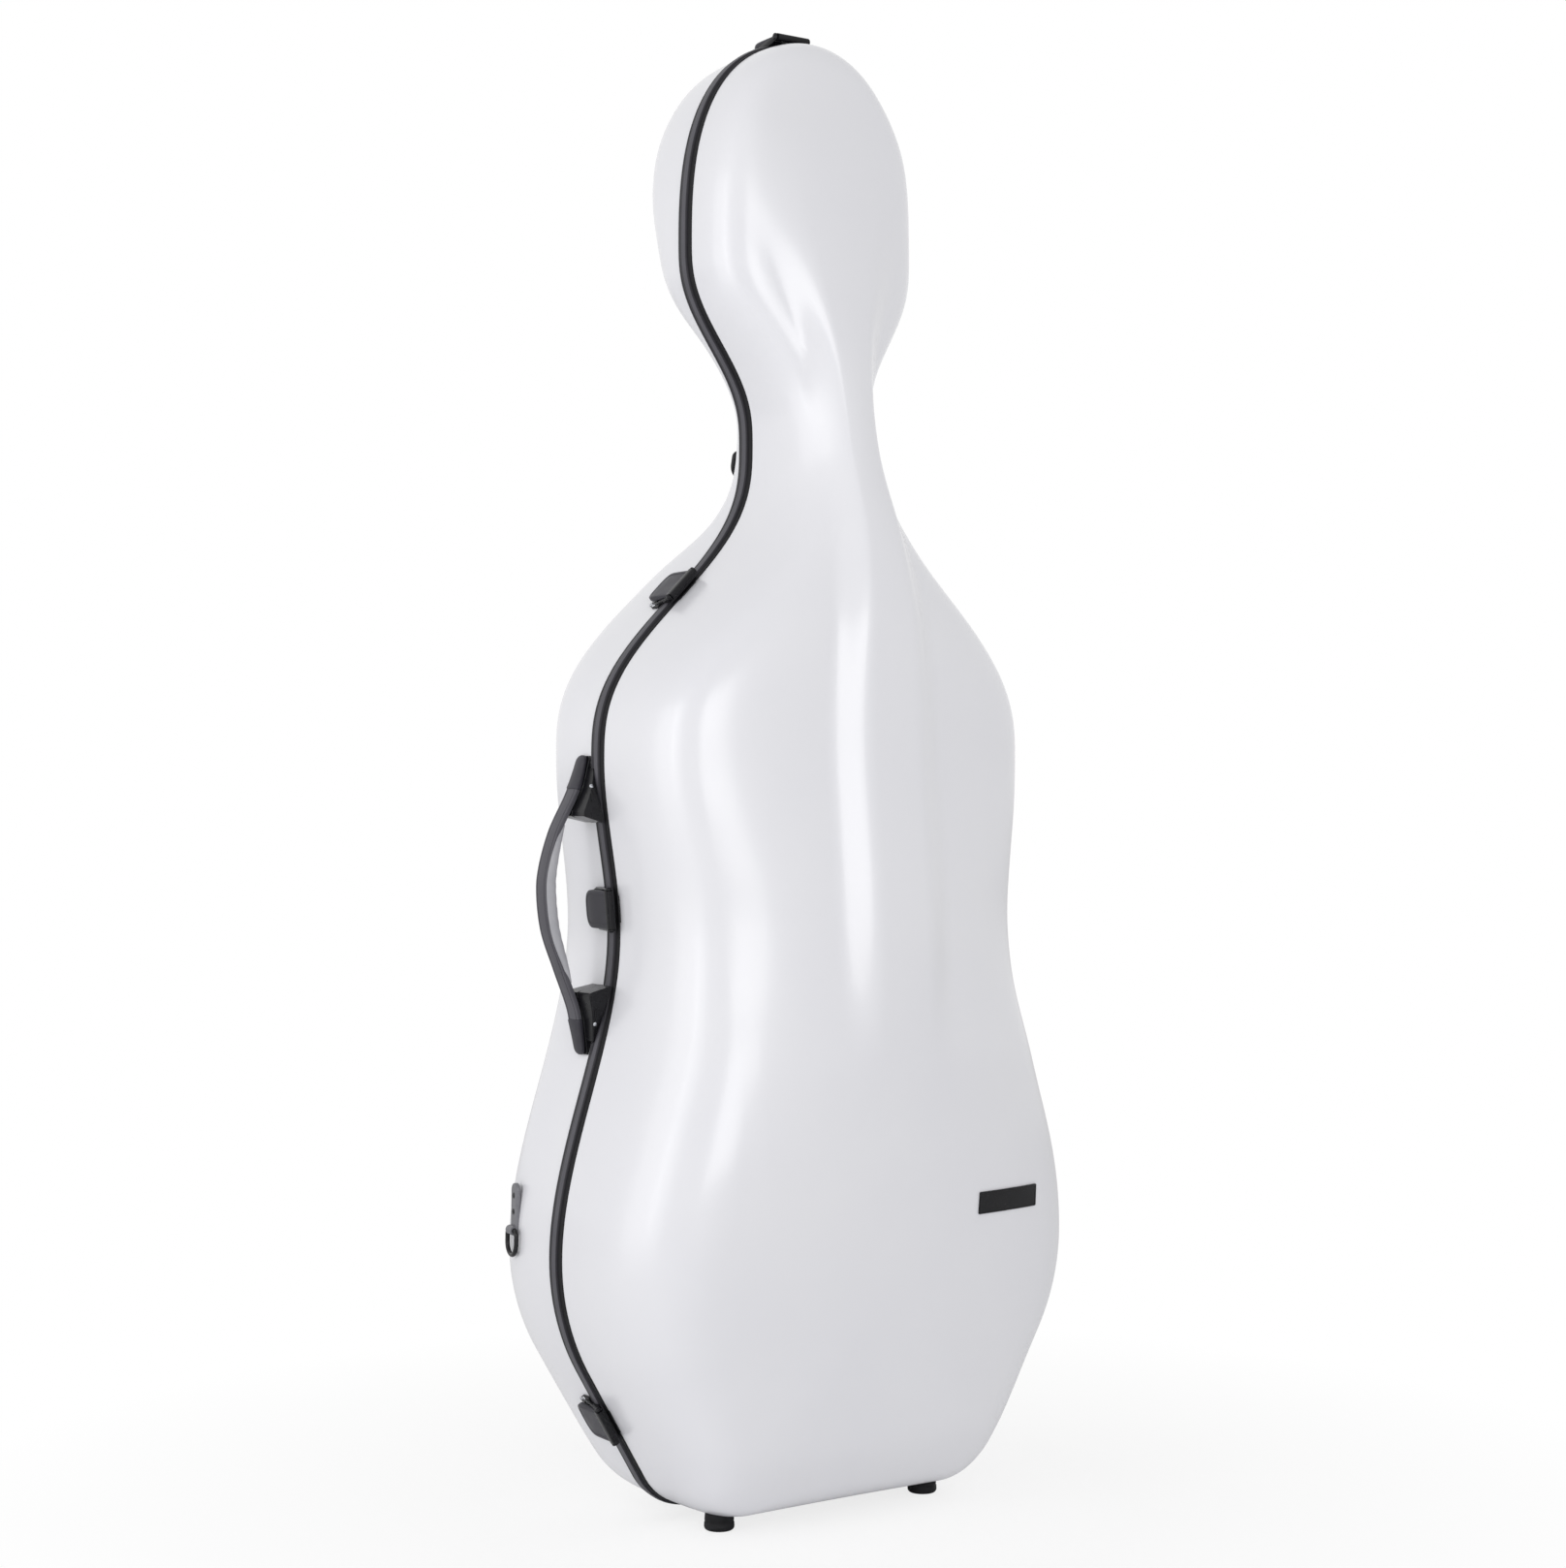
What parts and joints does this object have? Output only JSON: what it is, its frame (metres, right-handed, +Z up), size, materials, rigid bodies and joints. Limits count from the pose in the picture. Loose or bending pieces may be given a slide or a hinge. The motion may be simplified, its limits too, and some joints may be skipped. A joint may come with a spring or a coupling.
{
  "type": "cello hard case",
  "caption": "Hard case for a cello, standing upright: moulded half-shells hinged on one edge, lever latches and a bowed handle on the other, padded inside.",
  "frame": {"origin": "on the floor under the middle of the case's box, standing on its feet", "axes": "+Z up along the case from the feet to the head; -Y towards the lid, which is the front; the handle and latches are at -X and the hinges at +X"},
  "size_m": [0.5085, 0.3102, 1.3448],
  "materials": {
    "shell": "near-white gelcoat, satin gloss",
    "trim": "extruded profile, satin",
    "rubber": "moulded rubber, matt",
    "hardware": "moulded black plastic, slightly glossy",
    "lever": "moulded dark grey plastic, fine texture",
    "steel": "turned pin",
    "dark_steel": "pressed steel, grey coat",
    "ring": "steel wire, black coat",
    "lining": "short-pile lining on foam",
    "cushion": "fabric-covered foam",
    "webbing": "woven strap"
  },
  "bodies": {
    "base": {"base_shell": "shell", "base_liner": "lining", "rim_profile": "trim", "seam_seal": "rubber", "latch_foot_top": "hardware", "latch_pin_top": "steel", "latch_foot_shoulder": "hardware", "latch_pin_shoulder": "steel", "latch_foot_middle": "hardware", "latch_pin_middle": "steel", "latch_foot_lower": "hardware", "latch_pin_lower": "steel", "hinge_base_leaf_lower": "hardware", "hinge_pin_lower": "steel", "hinge_base_leaf_upper": "hardware", "hinge_pin_upper": "steel", "handle_band": "trim", "handle_end_lower": "lever", "handle_end_upper": "lever", "handle_grip": "rubber", "handle_bracket_upper": "hardware", "handle_bracket_lower": "hardware", "foot_rear_left": "rubber", "foot_rear_right": "rubber", "strap_plate_lower_left": "dark_steel", "strap_plate_upper_left": "dark_steel", "strap_plate_lower_right": "dark_steel", "strap_plate_upper_right": "dark_steel", "side_cushion_left": "cushion", "side_cushion_right": "cushion", "end_cushion_left": "cushion", "end_cushion_right": "cushion", "endpin_pad": "rubber", "neck_cradle": "cushion", "neck_strap": "webbing"},
    "lid": {"lid_shell": "shell", "lid_liner": "lining", "lid_edge_trim": "trim", "latch_keeper_top": "hardware", "latch_keeper_shoulder": "hardware", "latch_keeper_middle": "hardware", "latch_keeper_lower": "hardware", "hinge_lid_leaf_lower": "hardware", "hinge_lid_leaf_upper": "hardware", "foot_front_left": "rubber", "foot_front_right": "rubber", "lid_plate": "hardware", "bow_block_left": "cushion", "bow_block_right": "cushion", "bow_tip_sleeve": "cushion"},
    "lever_top": {"latch_lever_top": "lever"},
    "lever_shoulder": {"latch_lever_shoulder": "lever"},
    "lever_middle": {"latch_lever_middle": "lever"},
    "lever_lower": {"latch_lever_lower": "lever"},
    "ring_lower_left": {"strap_ring_lower_left": "ring"},
    "ring_lower_right": {"strap_ring_lower_right": "ring"},
    "ring_upper_left": {"strap_ring_upper_left": "ring"},
    "ring_upper_right": {"strap_ring_upper_right": "ring"},
    "clip_left": {"bow_clip_left": "lever"},
    "clip_right": {"bow_clip_right": "lever"}
  },
  "joints": [
    {"name": "lid_hinge", "type": "hinge", "parent": "base", "child": "lid", "pos_m": [0.24684, 0.01988, 0.26069], "axis": [-0.0991, 0, 0.9951], "range_deg": [0, 110]},
    {"name": "lever_top_hinge", "type": "hinge", "parent": "base", "child": "lever_top", "pos_m": [-0.00364, 0.02108, 1.3401], "axis": [1, 0, 0], "range_deg": [0, 110]},
    {"name": "lever_shoulder_hinge", "type": "hinge", "parent": "base", "child": "lever_shoulder", "pos_m": [-0.12407, 0.02108, 0.83485], "axis": [0.7095, 0, 0.7047], "range_deg": [0, 110]},
    {"name": "lever_middle_hinge", "type": "hinge", "parent": "base", "child": "lever_middle", "pos_m": [-0.1982, 0.02108, 0.54528], "axis": [-0.0832, 0, 0.9965], "range_deg": [0, 110]},
    {"name": "lever_lower_hinge", "type": "hinge", "parent": "base", "child": "lever_lower", "pos_m": [-0.2018, 0.02108, 0.09193], "axis": [-0.5028, 0, 0.8644], "range_deg": [0, 110]},
    {"name": "ring_lower_left_swing", "type": "hinge", "parent": "base", "child": "ring_lower_left", "pos_m": [-0.24907, 0.10868, 0.25719], "axis": [0.1588, 0.9873, -0.0023], "range_deg": [0, 100]},
    {"name": "ring_lower_right_swing", "type": "hinge", "parent": "base", "child": "ring_lower_right", "pos_m": [0.2418, 0.10868, 0.25719], "axis": [0.1588, -0.9873, 0.0023], "range_deg": [0, 100]},
    {"name": "ring_upper_left_swing", "type": "hinge", "parent": "base", "child": "ring_upper_left", "pos_m": [-0.02865, 0.06352, 0.962], "axis": [0.9912, 0.129, -0.0305], "range_deg": [0, 100]},
    {"name": "ring_upper_right_swing", "type": "hinge", "parent": "base", "child": "ring_upper_right", "pos_m": [0.02138, 0.06352, 0.962], "axis": [0.9912, -0.129, 0.0305], "range_deg": [0, 100]},
    {"name": "clip_left_turn", "type": "hinge", "parent": "lid", "child": "clip_left", "pos_m": [-0.07964, -0.10888, 0.4], "axis": [0, 1, 0], "range_deg": [0, 90]},
    {"name": "clip_right_turn", "type": "hinge", "parent": "lid", "child": "clip_right", "pos_m": [0.07236, -0.10888, 0.4], "axis": [0, -1, 0], "range_deg": [0, 90]}
  ]
}
